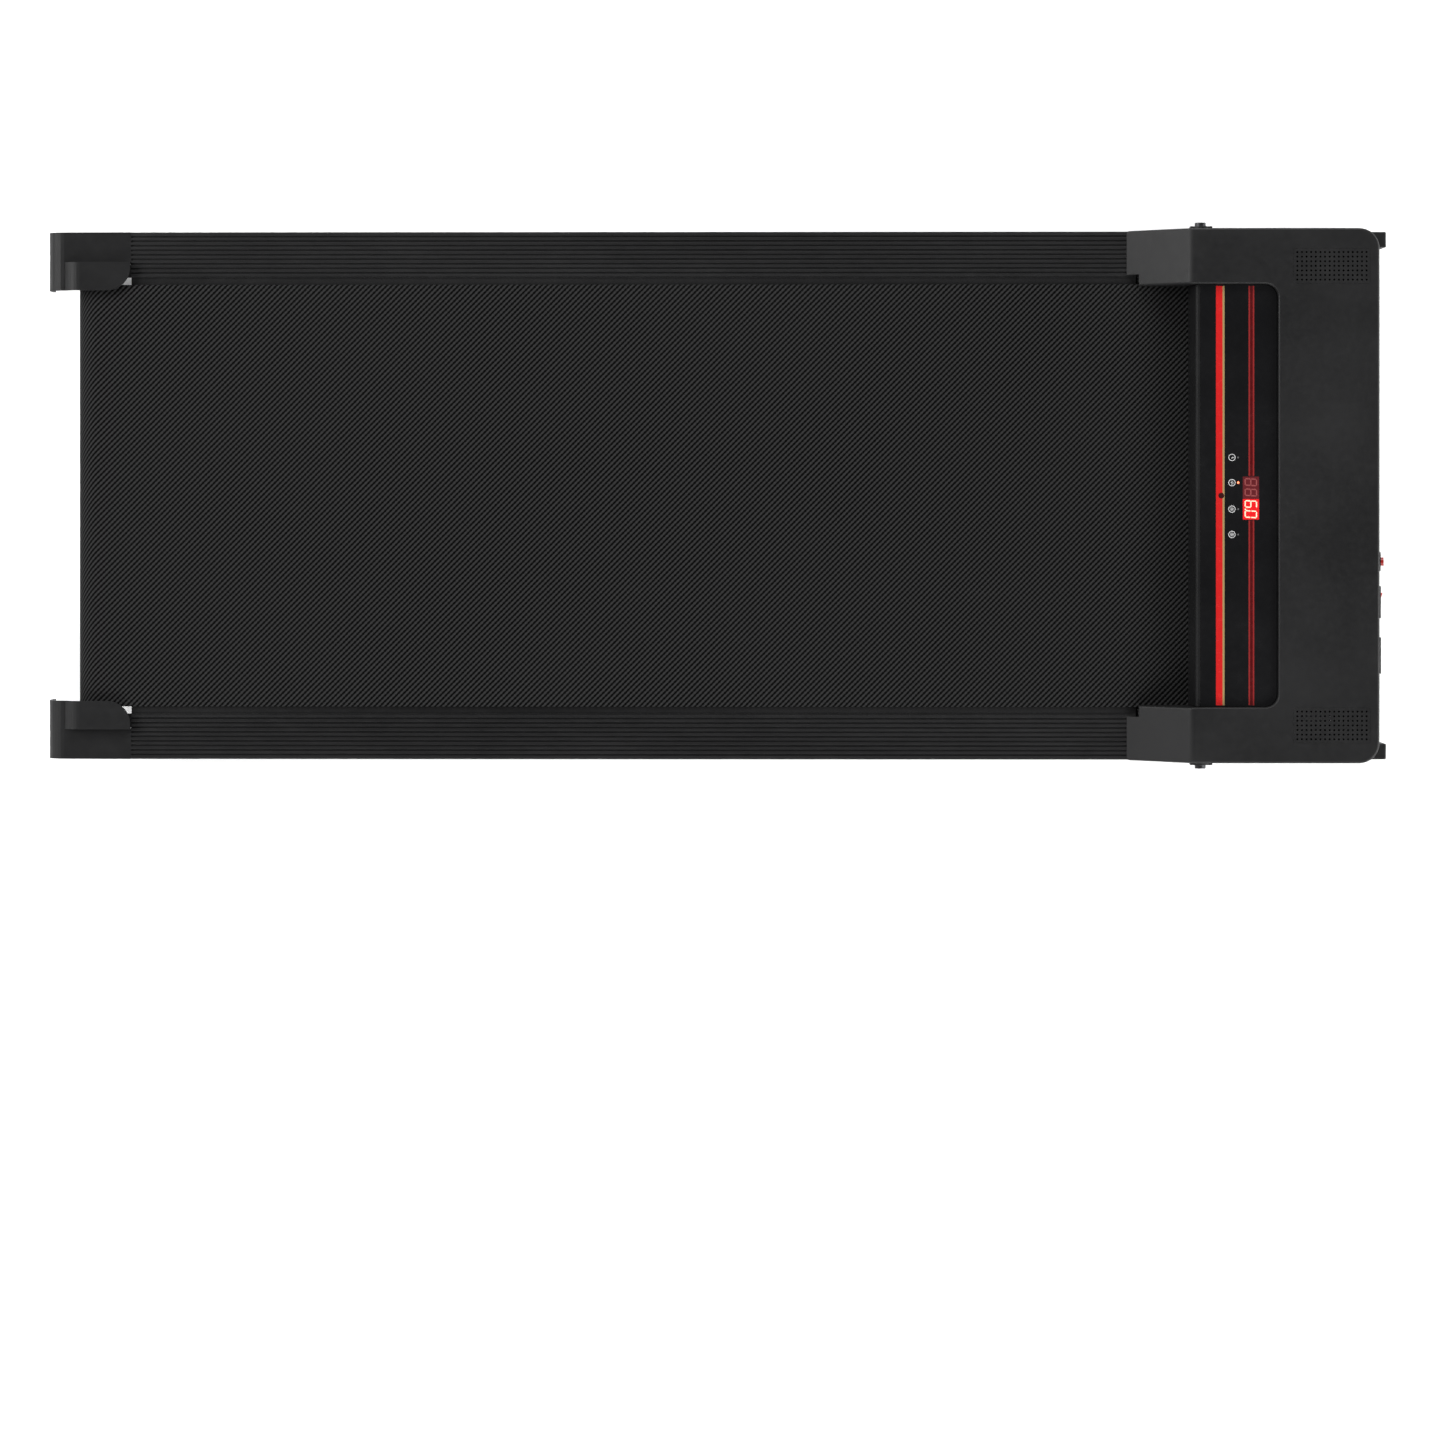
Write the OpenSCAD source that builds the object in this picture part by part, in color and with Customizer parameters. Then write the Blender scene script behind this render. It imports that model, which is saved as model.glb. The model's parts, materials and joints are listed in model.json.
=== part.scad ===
// Under-desk walking treadmill: a slim running deck with a motor hood at the front end.
// Row frame: +X towards the hood, +Y to the walker's left, +Z up, origin on the floor at the
// centre of the footprint. Deck parts are drawn square to the deck, then tilted by on_deck().

/* [Frame] */
// Length of the side tubes and end caps together
frame_len = 1270; // [1250:1:1290]
// Width over the side tubes
frame_w = 500; // [496:1:510]
// Height of a side tube
tube_h = 30.5; // [30:0.5:31]
// Width of a side tube
tube_w = 15; // [14:0.5:16]
// Wall of the steel tubes
tube_wall = 1.6; // [1.2:0.1:2]
// Rise of the deck towards the hood, in degrees
deck_tilt = 0.68; // [0.6:0.01:0.75]
// Height of the tubes' underside above the floor at mid length
deck_z = 37; // [37:0.1:38]

/* [Running belt] */
// Width of the running belt
belt_w = 400; // [396:1:400]
// Thickness of the running belt
belt_t = 1.6; // [1.4:0.1:1.8]
// Radius of both roller tubes
roller_r = 16.5; // [16:0.1:16.8]
// Rear roller's centre along the deck
rear_roller_x = -588; // [-589:1:-586]
// Front roller's centre along the deck
front_roller_x = 470; // [469:1:474]

/* [Foot rails and end caps] */
// Width of the ribbed part of a foot rail
rail_w = 43; // [42:0.5:43]
// Number of ribs on a foot rail
rail_ribs = 10; // [6:1:10]
// Length of an end cap
cap_len = 80; // [78:0.5:82]
// Height of an end cap's roller guard above the tubes' underside
guard_top = 43.5; // [42:0.5:46]

/* [Hood] */
// Height of the hood above the tubes' underside
hood_top = 81; // [79:0.5:82]
// Wall of the plastic covers
cover_t = 2.5; // [2:0.1:3]
// Height of the control panel's face above the tubes' underside
panel_top = 74; // [73:0.5:75]
// Depth of the belly pan below the tubes
pan_depth = 35; // [34:0.5:36]

/* [Wheels and feet] */
// Radius of a transport wheel
wheel_r = 20.2; // [19.2:0.5:20.7]
// Width of a transport wheel
wheel_w = 16; // [14:0.5:17]
// Diameter of a middle foot
mid_foot_d = 24.6; // [22:0.1:28]

/* [Drive] */
// Radius of the roller's pulley
roller_pulley_r = 30; // [26:1:32]
// Radius of the motor's pulley
motor_pulley_r = 12; // [10:0.5:14]
// Radius of the motor's case
motor_r = 31; // [28:0.5:32]

/* [Hidden] */
$fn = 48;
gap = 0.3;                    // between parts that turn past each other
run_gap = 0.05;               // radial running clearance on a shaft
frame_half = frame_len / 2;
side_y = frame_w / 2;
tube_in = side_y - tube_w;    // inner face of a side tube
cap_front = cap_len - frame_half;
tube_rear = 19 - frame_half;
cross_rear = 600;
cross_front = 624;

// Running deck
belt_top = tube_h + 6;
roller_z = belt_top - belt_t - gap - roller_r;
board_t = 13;
board_top = belt_top - belt_t - gap;
board_rear = -566;
board_front = 452;
crossbar_w = 30;
crossbar_h = 15;
crossbar_z = 3;
crossbar_x = [-535, -240, 90, 395];

// Foot rails
rail_top = tube_h + 5.3;
rail_front = 398;
rail_in = side_y - rail_w;
rail_lip = rail_in - belt_w / 2 - 0.02;
lip_z = tube_h + 1.5;
rail_plate = 2.4;
rib_h = 1.2;

// Rollers and axles
axle_r = 6;
roller_half = belt_w / 2 + 4;
bearing_w = 10;
bearing_r = roller_r - 1.5;
adjuster_y = side_y - 24;
adjuster_r = 3;
access_r = 6;

// Hood
hood_y = side_y + 0.5;
hood_front = 626;
hood_tip = 389;
hood_ridge = 445;
hood_seat = tube_h;
arm_in = 198;
recess_front = 527;
recess_r = 12;
hood_corner_r = 19;
panel_rear = 447;
lens_t = 3;
lens_rear = 455;
lens_gap = 0.2;

// Clips that bolt the hood's sides to the tubes
clip_x = 460;
clip_z = 23;
clip_r = 10.5;
clip_in = hood_y + 0.02;
clip_out = side_y + 5.2;

// Control panel
bar_x = 469.3;
bar_w = 8.1;
line_xs = [499.8, 503.7];
line_w = 1.5;
display_x = 494.4;
display_w = 15.3;
display_len = 40.4;
display_y = -2.3;
inset_t = 1.2;
receiver_pos = [474.3, 0];

// Vents
vent_x = 544.6;
vent_y = 202;
vent_pitch = 4.31;
vent_row = 4.3;
vent_cols = 16;
vent_rows = 7;
vent_margin = 3.5;

// Belly pan
pan_y = 247;
pan_rear = 375;
pan_rear_low = 407.6;
pan_front = 614;
pan_front_low = 589;
pan_notch = 425;
well_r = 32;
well_in = side_y - 34;

// Wheels
wheel_x = 611.5;
wheel_y = side_y - 13;
wheel_side = 2;
wheel_bolt_r = 4;
bracket_t = 2.5;
bracket_r = 9.3;

// Feet
mid_foot_x = 37.2;
mid_foot_y = side_y - 14;
rear_foot_x = -520;
rear_foot_y = side_y - 16;
rear_foot_h = 14.5;

// Drive
motor_x = 562;
motor_z = 21;
motor_y0 = -190;
motor_len = 150;
pulley_y = -220;
pulley_w = 12;
drive_belt_t = 2;

// Switchgear on the hood's front wall
inlet_y = -150;
switch_y = -100;
breaker_y = -62;
gear_z = 56;
switch_tilt = 8;
rocker_x = -3;

// Puts parts drawn square to the deck at the deck's height and tilt
module on_deck() {
    translate([0.118, 0, deck_z]) rotate([0, -deck_tilt, 0]) children();
}

// Mirrors a left-hand part to the right when side is -1
module on_side(side) {
    if (side > 0) children();
    else mirror([0, 1, 0]) children();
}

// Extrudes an XZ outline from y0 to y1
module slab(y0, y1) {
    translate([0, y1, 0]) rotate([90, 0, 0]) linear_extrude(y1 - y0) children();
}

// A cylinder along Y from y0 to y1 with its axis at x, z
module y_rod(x, z, r, y0, y1) {
    translate([x, y1, z]) rotate([90, 0, 0]) cylinder(h = y1 - y0, r = r);
}

// A cylinder along X from x0 to x1 with its axis at y, z
module x_rod(y, z, r, x0, x1) {
    translate([x0, y, z]) rotate([0, 90, 0]) cylinder(h = x1 - x0, r = r);
}

// A box from one corner to the other
module block(low, high) {
    translate(low) cube(high - low);
}

// Points of an arc from angle a0 to a1
function arc(x, y, r, a0, a1, n = 8) =
    [for (i = [0:n]) let (a = a0 + (a1 - a0) * i / n) [x + r * cos(a), y + r * sin(a)]];

// ---- Frame ----

module side_tube(side) {
    color([0.16, 0.16, 0.16]) on_deck() on_side(side) difference() {
        block([tube_rear, tube_in, 0], [frame_half, side_y, tube_h]);
        block([tube_rear - 1, tube_in + tube_wall, tube_wall],
              [frame_half + 1, side_y - tube_wall, tube_h - tube_wall]);
    }
}

module front_cross_tube() {
    color([0.16, 0.16, 0.16]) on_deck() difference() {
        block([cross_rear, -tube_in, 0], [cross_front, tube_in, tube_h]);
        block([cross_rear + tube_wall, -tube_in - 1, tube_wall],
              [cross_front - tube_wall, tube_in + 1, tube_h - tube_wall]);
    }
}

module deck_crossbars() {
    color([0.2, 0.2, 0.2]) on_deck() for (x = crossbar_x) difference() {
        block([x, -tube_in, crossbar_z], [x + crossbar_w, tube_in, crossbar_z + crossbar_h]);
        block([x + tube_wall, -tube_in - 1, crossbar_z + tube_wall],
              [x + crossbar_w - tube_wall, tube_in + 1, crossbar_z + crossbar_h - tube_wall]);
    }
}

// Plastic plugs in the open front ends of the side tubes
module tube_plugs() {
    inset = tube_wall + 0.1;
    color([0.05, 0.05, 0.05]) on_deck() for (side = [1, -1]) on_side(side)
        block([frame_half - 12, tube_in + inset, inset],
              [frame_half - 0.5, side_y - inset, tube_h - inset]);
}

module deck_board() {
    color([0.25, 0.2, 0.15]) on_deck()
        block([board_rear, -belt_w / 2, board_top - board_t],
              [board_front, belt_w / 2, board_top]);
}

module deck_cushions() {
    low = crossbar_z + crossbar_h;
    color([0.05, 0.05, 0.05]) on_deck() for (x = crossbar_x, y = [-150, 0, 150])
        translate([x + crossbar_w / 2, y, low])
            cylinder(h = board_top - board_t - low, r = 11);
}

// ---- Running belt and rollers ----

// Outline of a belt round two circles of radii ra and rb, as an XZ polygon
module belt_outline(xa, za, ra, xb, zb, rb) {
    span = norm([xb - xa, zb - za]);
    lean = atan2(zb - za, xb - xa);
    spread = acos((ra - rb) / span);
    polygon(concat(arc(xa, za, ra, lean + spread, lean + 360 - spread, 24),
                   arc(xb, zb, rb, lean - spread, lean + spread, 24)));
}

module running_belt() {
    inner = roller_r + gap;
    color([0.06, 0.06, 0.06]) on_deck() slab(-belt_w / 2, belt_w / 2) difference() {
        belt_outline(rear_roller_x, roller_z, inner + belt_t, front_roller_x, roller_z, inner + belt_t);
        belt_outline(rear_roller_x, roller_z, inner, front_roller_x, roller_z, inner);
    }
}

module roller_tube(x) {
    color([0.55, 0.56, 0.58]) on_deck() difference() {
        y_rod(x, roller_z, roller_r, -roller_half, roller_half);
        y_rod(x, roller_z, bearing_r, -roller_half - 1, roller_half + 1);
    }
}

module roller_bearings(x) {
    color([0.7, 0.7, 0.72]) on_deck() for (y = [-roller_half, roller_half - bearing_w]) difference() {
        y_rod(x, roller_z, bearing_r, y, y + bearing_w);
        y_rod(x, roller_z, axle_r + run_gap, y - 1, y + bearing_w + 1);
    }
}

module front_axle() {
    color([0.6, 0.6, 0.62]) on_deck()
        y_rod(front_roller_x, roller_z, axle_r, -tube_in + 0.5, tube_in - 0.5);
}

module front_axle_blocks() {
    color([0.25, 0.25, 0.26]) on_deck() for (side = [1, -1]) on_side(side) difference() {
        block([front_roller_x - 14, tube_in - 5, 2], [front_roller_x + 14, tube_in, tube_h - 1]);
        y_rod(front_roller_x, roller_z, axle_r, tube_in - 6, tube_in - 0.5);
    }
}

module front_roller_pulley() {
    hub = roller_r - 2.5;
    color([0.12, 0.12, 0.12]) on_deck() difference() {
        union() {
            y_rod(front_roller_x, roller_z, roller_pulley_r,
                  pulley_y - pulley_w / 2, pulley_y + pulley_w / 2);
            for (y = [pulley_y - pulley_w / 2, pulley_y + pulley_w / 2 - 1])
                y_rod(front_roller_x, roller_z, roller_pulley_r + 2.5, y, y + 1);
            y_rod(front_roller_x, roller_z, hub, pulley_y, -roller_half);
        }
        y_rod(front_roller_x, roller_z, axle_r + 1, pulley_y - pulley_w, -roller_half + 1);
    }
}

module rear_axle() {
    color([0.6, 0.6, 0.62]) on_deck() difference() {
        y_rod(rear_roller_x, roller_z, axle_r, -tube_in + 0.5, tube_in - 0.5);
        for (side = [1, -1]) x_rod(side * adjuster_y, roller_z, adjuster_r + run_gap,
            rear_roller_x - 10, rear_roller_x + 10);
    }
}

// Steel plates on the inner faces of the tubes that carry the rear axle in a slot
module rear_axle_brackets() {
    color([0.25, 0.25, 0.26]) on_deck() for (side = [1, -1]) on_side(side) {
        difference() {
            block([-622, tube_in - 5, 3], [-566, tube_in, tube_h - 3]);
            block([rear_roller_x - 9, tube_in - 6, roller_z - axle_r - 0.15],
                  [rear_roller_x + 9, tube_in + 1, roller_z + axle_r + 0.15]);
        }
        difference() {
            block([-622, adjuster_y - 9, 5], [-617, tube_in - 5, tube_h - 5]);
            x_rod(adjuster_y, roller_z, adjuster_r + run_gap, -623, -614);
        }
    }
}

module adjuster_bolt(side) {
    color([0.6, 0.6, 0.62]) on_deck() on_side(side) difference() {
        union() {
            x_rod(adjuster_y, roller_z, adjuster_r, -622.5, rear_roller_x + 12);
            x_rod(adjuster_y, roller_z, 5, -628, -622.4);
        }
        translate([-628.5, adjuster_y, roller_z]) rotate([0, 90, 0]) cylinder(h = 4, r = 2.9, $fn = 6);
    }
}

// ---- Foot rails ----

module foot_rail(side) {
    outer = side_y;
    pitch = rail_w / rail_ribs;
    face = rail_top - rib_h;
    color([0.1, 0.1, 0.1]) on_deck() on_side(side) {
        translate([cap_front, 0, 0]) rotate([90, 0, 90]) linear_extrude(rail_front - cap_front) union() {
            translate([rail_in, face - rail_plate]) square([rail_w, rail_plate]);
            translate([outer - 2, tube_h]) square([2, face - tube_h]);
            translate([tube_in + 1, tube_h]) square([2, face - tube_h]);
            translate([rail_in, lip_z]) square([1.6, face - lip_z]);
            translate([rail_in - rail_lip, lip_z]) square([rail_lip + 1, 1.5]);
            for (i = [0:rail_ribs - 1])
                translate([rail_in + (i + 0.25) * pitch, face - 0.1])
                    square([pitch / 2, rib_h + 0.1]);
        }
        // tongue under the end cap's guard
        block([cap_front - 7, rail_in, face - rail_plate], [cap_front + 0.1, side_y - 31.5, face]);
    }
}

// ---- End caps ----

// XZ outline of the low outer part of a cap, taken in by t
module cap_outline(t) {
    r = 16 - t;
    drop = t > 0 ? 3 : 0;
    polygon(concat([[cap_front + t * 2, -drop], [t - frame_half, -drop]],
                   arc(t + r - frame_half, rail_top - t - r, r, 180, 90),
                   [[cap_front + t * 2, rail_top - t]]));
}

// XZ outline of the raised guard over the roller's end, taken in by t
module guard_outline(t) {
    r = 18.8 - t;
    cap_outline(t);
    polygon(concat([[cap_front, rail_top - t - 6]], [[32 - frame_half, rail_top - t - 6]],
                   arc(32 - frame_half, guard_top - t - r, r, 160, 90),
                   [[cap_front, guard_top - t]]));
}

module end_cap(side) {
    guard_out = side_y - 28.5;
    guard_in = side_y - 55.3;
    nose_r = 22;
    color([0.14, 0.14, 0.14]) on_deck() on_side(side) difference() {
        union() {
            slab(guard_out - cover_t, side_y) cap_outline(0);
            slab(guard_in, guard_out) guard_outline(0);
        }
        slab(guard_out - cover_t - 1, side_y - cover_t) cap_outline(cover_t);
        slab(guard_in - 1, guard_out - cover_t) guard_outline(cover_t);
        // room for the tube, the rail and the belt below the cap's top
        block([tube_rear - 0.2, guard_in - 1, -6], [cap_front + 20, side_y + 1, tube_h + 0.3]);
        block([cap_front - 8, guard_in - 1, 0], [cap_front + 20, guard_out - 1, guard_top - cover_t]);
        block([cap_front - 0.01, guard_out - 1, 0], [cap_front + 20, side_y + 1, guard_top + 1]);
        // rounded front corner of the guard, seen from above
        difference() {
            block([cap_front - nose_r, guard_in - 1, -6],
                  [cap_front + 20, guard_in + nose_r, guard_top + 1]);
            translate([cap_front - nose_r, guard_in + nose_r, -7])
                cylinder(h = guard_top + 9, r = nose_r);
        }
        // narrow slot along the side, above the tube
        block([25 - frame_half, side_y - cover_t - 1, tube_h + 0.8],
              [50 - frame_half, side_y + 1, tube_h + 2.8]);
        // hole for the hex key
        x_rod(adjuster_y, roller_z, access_r, -frame_half - 1, -frame_half + cover_t + 1);
    }
}

// ---- Feet ----

module middle_foot(side) {
    top = deck_z + (mid_foot_x - mid_foot_d / 2) * sin(deck_tilt) - 0.05;
    color([0.08, 0.08, 0.08]) on_side(side) difference() {
        translate([mid_foot_x, mid_foot_y, 0]) cylinder(h = top, r = mid_foot_d / 2);
        translate([mid_foot_x, mid_foot_y, 3]) difference() {
            cylinder(h = 0.8, r = mid_foot_d / 2 + 1);
            cylinder(h = 0.8, r = mid_foot_d / 2 - 0.6);
        }
    }
}

module rear_foot_bar() {
    bar_h = 8;
    low = rear_foot_h + 0.02;
    leg_top = deck_z + (rear_foot_x - 22) * sin(deck_tilt) - 0.05;
    slant = 4;
    color([0.3, 0.3, 0.3]) {
        slab(-side_y + 6, side_y - 6) polygon([
            [rear_foot_x - 13, low], [rear_foot_x + 6, low],
            [rear_foot_x + 6 - slant / 2, low + bar_h], [rear_foot_x - 14 - slant / 2, low + bar_h],
            [rear_foot_x - 14.6, low + 1.5]]);
        for (side = [1, -1]) on_side(side) slab(side_y - 24, side_y - 6) polygon([
            [rear_foot_x - 14 - slant / 2, low + bar_h + 0.02],
            [rear_foot_x + 6 - slant / 2, low + bar_h + 0.02],
            [rear_foot_x + 6 - slant, leg_top], [rear_foot_x - 14 - slant, leg_top]]);
    }
}

module rear_foot(side) {
    color([0.06, 0.06, 0.06]) on_side(side) translate([rear_foot_x + 1.7, rear_foot_y, 0])
        cylinder(h = rear_foot_h, r1 = 13.7, r2 = 10.9);
}

// ---- Transport wheels ----

// Height of the wheel's centre when measured from the tubes' underside
wheel_drop = wheel_r - deck_z - wheel_x * sin(deck_tilt);

module wheel_bracket(side) {
    tabs = [wheel_y - wheel_w / 2 - wheel_side - bracket_t, wheel_y + wheel_w / 2 + wheel_side];
    color([0.2, 0.2, 0.2]) on_deck() on_side(side) {
        block([wheel_x - bracket_r, tabs[0], -bracket_t], [wheel_x + bracket_r, tabs[1] + bracket_t, 0]);
        for (y = tabs) difference() {
            union() {
                block([wheel_x - bracket_r, y, wheel_drop],
                      [wheel_x + bracket_r, y + bracket_t, 0.01 - bracket_t]);
                y_rod(wheel_x, wheel_drop, bracket_r, y, y + bracket_t);
            }
            y_rod(wheel_x, wheel_drop, wheel_bolt_r, y - 1, y + bracket_t + 1);
        }
    }
}

module wheel_bolt(side) {
    out = wheel_y + wheel_w / 2 + wheel_side + bracket_t;
    inner = wheel_y - wheel_w / 2 - wheel_side - bracket_t;
    color([0.55, 0.55, 0.57]) on_deck() on_side(side) {
        y_rod(wheel_x, wheel_drop, wheel_bolt_r, inner, out);
        difference() {
            y_rod(wheel_x, wheel_drop, 5, out, out + 2.8);
            translate([wheel_x, out + 3, wheel_drop]) rotate([90, 0, 0]) cylinder(h = 2, r = 2.3, $fn = 6);
        }
        translate([wheel_x, inner, wheel_drop]) rotate([90, 0, 0]) cylinder(h = 3, r = 6, $fn = 6);
    }
}

module wheel(side) {
    color([0.07, 0.07, 0.07]) on_deck() on_side(side) difference() {
        y_rod(wheel_x, wheel_drop, wheel_r, wheel_y - wheel_w / 2, wheel_y + wheel_w / 2);
        y_rod(wheel_x, wheel_drop, wheel_bolt_r + run_gap, wheel_y - wheel_w, wheel_y + wheel_w);
        for (y = [wheel_y - wheel_w / 2 - 1, wheel_y + wheel_w / 2 - 1.5]) difference() {
            y_rod(wheel_x, wheel_drop, wheel_r - 6, y, y + 2.5);
            y_rod(wheel_x, wheel_drop, wheel_bolt_r + 3, y - 1, y + 3.5);
        }
    }
}

// ---- Hood and vents ----

// XZ outline of the hood, taken in by t and open below when t is over 0
module hood_side(t) {
    slope = atan2(hood_top - rail_top - 0.3, hood_ridge - hood_tip);
    shift = t / sin(slope);
    drop = t > 0 ? 20 : 0;
    polygon(concat(
        [[hood_tip + shift, rail_top + 0.3], [rail_front + 1 + t, rail_top + 0.3],
         [rail_front + 1 + t, hood_seat - drop], [hood_front + 9, hood_seat - drop]],
        [[hood_front + 9, hood_top - t]],
        arc(hood_ridge + 5 + t * tan(slope / 2), hood_top - 12 - t, 12, 90, 90 + slope, 6)));
}

// Outer plan of the hood with its rounded front corners, taken in by t
module hood_plan(t) {
    r = hood_corner_r - t;
    polygon(concat(
        [[hood_tip - 40, t - hood_y]],
        arc(hood_front - t - r, t + r - hood_y, r, -90, 0, 10),
        arc(hood_front - t - r, hood_y - t - r, r, 0, 90, 10),
        [[hood_tip - 40, hood_y - t]]));
}

// Plan of the recess between the hood's arms, widened by t
module recess_plan(t) {
    r = recess_r;
    polygon(concat(
        [[hood_tip - 20, -arm_in - t]],
        arc(recess_front + t - r, r - arm_in - t, r, -90, 0, 6),
        arc(recess_front + t - r, arm_in + t - r, r, 0, 90, 6),
        [[hood_tip - 20, arm_in + t]]));
}

// The hood's front wall leans back from its foot
wall_lean = atan2(4, hood_top - 6 - hood_seat);

module hood_solid(t) {
    difference() {
        intersection() {
            translate([hood_front, 0, hood_seat]) rotate([0, -wall_lean, 0])
                translate([-hood_front, 0, -40]) linear_extrude(hood_top + 40) hood_plan(t);
            slab(-side_y - 5, side_y + 5) hood_side(t);
        }
        translate([0, 0, -5]) linear_extrude(hood_top + 10) recess_plan(t);
    }
}

vent_w = (vent_cols - 1) * vent_pitch + 2 * vent_margin;
vent_h = (vent_rows - 1) * vent_row + 2 * vent_margin;

module motor_hood() {
    color([0.14, 0.14, 0.14]) on_deck() difference() {
        hood_solid(0);
        hood_solid(cover_t);
        // the arms' inner walls stop above the belt, and their tips above the rails
        block([hood_tip - 5, -arm_in - 4, 0], [recess_front + 30, arm_in + 4, belt_top + 1.2]);
        for (side = [1, -1]) on_side(side) {
            block([hood_tip - 5, arm_in - 1, 0], [hood_tip + 11, arm_in + 11, hood_top]);
            block([vent_x - vent_margin, vent_y - vent_margin, hood_top - 5],
                  [vent_x - vent_margin + vent_w, vent_y - vent_margin + vent_h, hood_top + 1]);
        }
        // openings for the inlet, switch and breaker
        block([hood_front - 12, inlet_y - 14, gear_z - 10], [hood_front + 1, inlet_y + 14, gear_z + 10]);
        block([hood_front - 12, switch_y - 13, gear_z - 9], [hood_front + 1, switch_y + 13, gear_z + 9]);
        x_rod(breaker_y, gear_z, 7, hood_front - 12, hood_front + 1);
    }
}

module vent_grille(side) {
    color([0.12, 0.12, 0.12]) on_deck() on_side(side) difference() {
        block([vent_x - vent_margin, vent_y - vent_margin, hood_top - cover_t],
              [vent_x - vent_margin + vent_w, vent_y - vent_margin + vent_h, hood_top]);
        for (i = [0:vent_cols - 1], j = [0:vent_rows - 1])
            translate([vent_x + i * vent_pitch, vent_y + j * vent_row, hood_top - cover_t - 1])
                cylinder(h = cover_t + 2, r = 1, $fn = 16);
    }
}

module hood_clips() {
    color([0.13, 0.13, 0.13]) on_deck() for (side = [1, -1]) on_side(side) difference() {
        union() {
            block([clip_x - clip_r, clip_in, clip_z + 2.5], [clip_x + clip_r, clip_out, 33.5]);
            y_rod(clip_x, clip_z + 2.5, clip_r, clip_in, clip_out);
        }
        y_rod(clip_x, clip_z, 3, side_y - 1, side_y + 9);
    }
}

module hood_bolts() {
    color([0.3, 0.3, 0.3]) on_deck() for (side = [1, -1]) on_side(side) {
        y_rod(clip_x, clip_z, 3, side_y, clip_out);
        difference() {
            y_rod(clip_x, clip_z, 5.2, clip_out, clip_out + 3.8);
            for (a = [0, 90]) translate([clip_x, clip_out + 3.8, clip_z]) rotate([0, a, 0])
                cube([1.4, 3, 6], center = true);
        }
    }
}

// ---- Control panel ----

module control_tray() {
    lens_seat = panel_top - lens_t;
    color([0.1, 0.1, 0.1]) on_deck() intersection() {
        linear_extrude(hood_top) recess_plan(-0.3);
        slab(-arm_in + 0.3, arm_in - 0.3) polygon(concat(
        [[panel_rear, belt_top + 1]],
        arc(panel_rear + 7, panel_top - 4, 4, 175, 90, 6),
        [[lens_rear - 0.2, panel_top], [lens_rear - 0.2, lens_seat],
         [recess_front + 6, lens_seat], [recess_front + 6, lens_seat - 2.5],
         [panel_rear + 5.5, lens_seat - 2.5], [panel_rear + 2.5, belt_top + 1]]));
    }
}

// Shallow pockets for what shines through the lens, widened by g
module panel_insets(g, h) {
    z = panel_top - h;
    block([bar_x - g, -arm_in + 1.5 - g, z], [bar_x + bar_w + g, arm_in - 1.5 + g, panel_top + g]);
}

module line_insets(g, h) {
    ends = [[-arm_in + 1.5 - g, display_y - display_len / 2 - 0.5 + g],
            [display_y + display_len / 2 + 0.5 - g, arm_in - 1.5 + g]];
    for (x = line_xs, e = ends)
        block([x - g, e[0], panel_top - h], [x + line_w + g, e[1], panel_top + g]);
}

module display_inset(g, h) {
    block([display_x - g, display_y - display_len / 2 - g, panel_top - h],
          [display_x + display_w + g, display_y + display_len / 2 + g, panel_top + g]);
}

module panel_lens() {
    color([0.03, 0.03, 0.03]) on_deck() difference() {
        translate([0, 0, panel_top - lens_t]) linear_extrude(lens_t) polygon(concat(
            [[lens_rear, 0.4 - arm_in]],
            arc(recess_front - recess_r - 0.4, recess_r - arm_in, recess_r - 0.4, -90, 0, 6),
            arc(recess_front - recess_r - 0.4, arm_in - recess_r, recess_r - 0.4, 0, 90, 6),
            [[lens_rear, arm_in - 0.4]]));
        translate([0, 0, 0.01]) panel_insets(0, inset_t);
        translate([0, 0, 0.01]) line_insets(0, inset_t);
        translate([0, 0, 0.01]) display_inset(0, inset_t);
        translate([receiver_pos[0], receiver_pos[1], panel_top - inset_t])
            cylinder(h = inset_t + 1, r = 2.8);
    }
}

module light_bar() {
    color([0.9, 0.12, 0.08]) on_deck() translate([0, 0, -lens_gap]) difference() {
        panel_insets(0, inset_t - lens_gap - 0.01);
        translate([receiver_pos[0], receiver_pos[1], panel_top - inset_t]) cylinder(h = 3, r = 2.85);
    }
}

module light_lines() {
    color([0.75, 0.1, 0.1]) on_deck() translate([0, 0, -lens_gap]) line_insets(0, inset_t - lens_gap - 0.01);
}

module speed_display() {
    color([0.7, 0.05, 0.05]) on_deck() translate([0, 0, -lens_gap])
        display_inset(0, inset_t - lens_gap - 0.01);
}

module remote_receiver() {
    color([0.1, 0.02, 0.02]) on_deck()
        translate([receiver_pos[0], receiver_pos[1], panel_top - inset_t + 0.01])
            cylinder(h = inset_t - 0.05, r = 2.75);
}

module display_board() {
    z = panel_top - lens_t - 2.5;
    color([0.1, 0.3, 0.15]) on_deck() {
        block([468, -55, z - 8], [512, 50, z - 6.4]);
        for (x = [472, 508], y = [-50, 45]) y_post(x, y, z - 6.4, z);
        block([491, -23, z - 6.4], [506, 18, z - 0.5]);
    }
}

module y_post(x, y, z0, z1) {
    translate([x, y, z0]) cylinder(h = z1 - z0, r = 2.5);
}

// ---- Belly pan ----

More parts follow.
